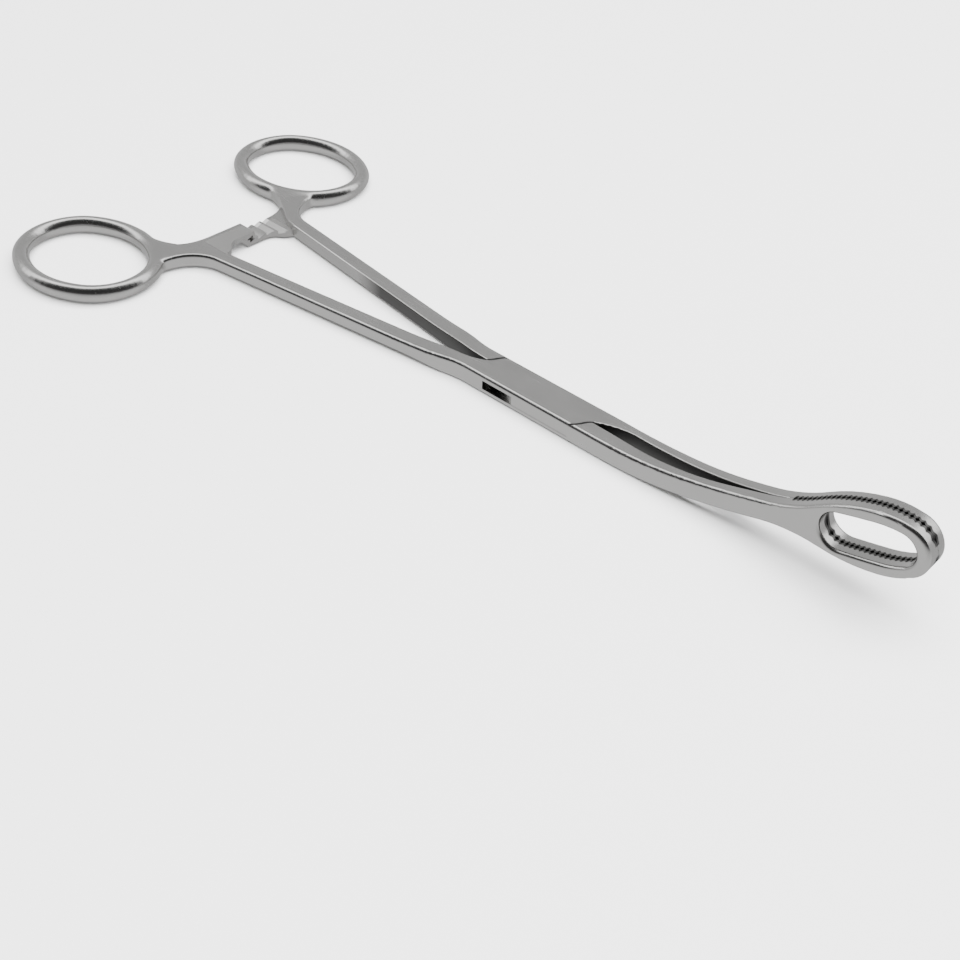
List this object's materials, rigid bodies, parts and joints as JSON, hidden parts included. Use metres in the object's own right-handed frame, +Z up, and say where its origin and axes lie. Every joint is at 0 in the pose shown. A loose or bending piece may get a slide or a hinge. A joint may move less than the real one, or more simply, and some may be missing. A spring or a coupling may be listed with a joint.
{
  "type": "sponge forceps",
  "caption": "Curved sponge forceps with box lock, finger rings, ratchet and serrated ring-shaped jaws, shown closed.",
  "frame": {"origin": "on the pivot axis of the box lock, at the underside of the box on which the forceps rest", "axes": "+X towards the jaws, +Y towards the rear finger ring, +Z up along the pivot pin"},
  "size_m": [0.2427, 0.107, 0.0232],
  "materials": {
    "satin_steel": "satin",
    "pin_steel": "satin"
  },
  "bodies": {
    "box_side": {"box_half": "satin_steel", "pivot_pin": "pin_steel"},
    "tongue_side": {"tongue_half": "satin_steel"}
  },
  "joints": [
    {"name": "box_lock", "type": "hinge", "parent": "box_side", "child": "tongue_side", "pos_m": [0, 0, 0.0025], "axis": [0, 0, -1], "range_deg": [0, 40]}
  ]
}
